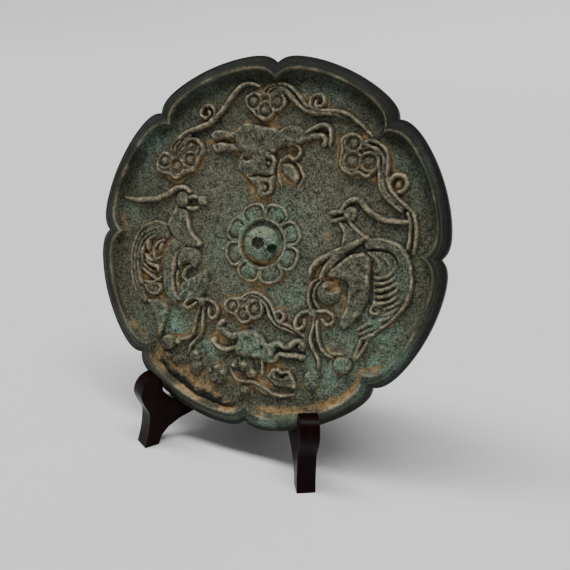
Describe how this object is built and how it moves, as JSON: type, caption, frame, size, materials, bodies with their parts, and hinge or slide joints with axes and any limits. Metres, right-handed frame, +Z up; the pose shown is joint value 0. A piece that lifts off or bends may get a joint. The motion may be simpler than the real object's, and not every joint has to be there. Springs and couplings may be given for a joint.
{
  "type": "ancient bronze mirror on a wooden stand",
  "caption": "Lobed bronze mirror with carved birds, beasts and cloud scrolls round a rosette knob, leaning in a notched wooden panel stand.",
  "frame": {"origin": "on the surface the stand rests on, under the middle of the whole object's box", "axes": "+Z up, the mirror's carved face towards -Y, +X to the right as the carved face is seen"},
  "size_m": [0.2116, 0.0998, 0.2223],
  "materials": {
    "bronze": "dark patinated cast bronze with green patina and tan earth in the hollows",
    "stand_wood": "dark red-brown lacquered hardwood with near-black edges"
  },
  "bodies": {
    "root": {"mirror": "bronze", "stand_left_panel": "stand_wood", "stand_right_panel": "stand_wood"}
  },
  "joints": []
}
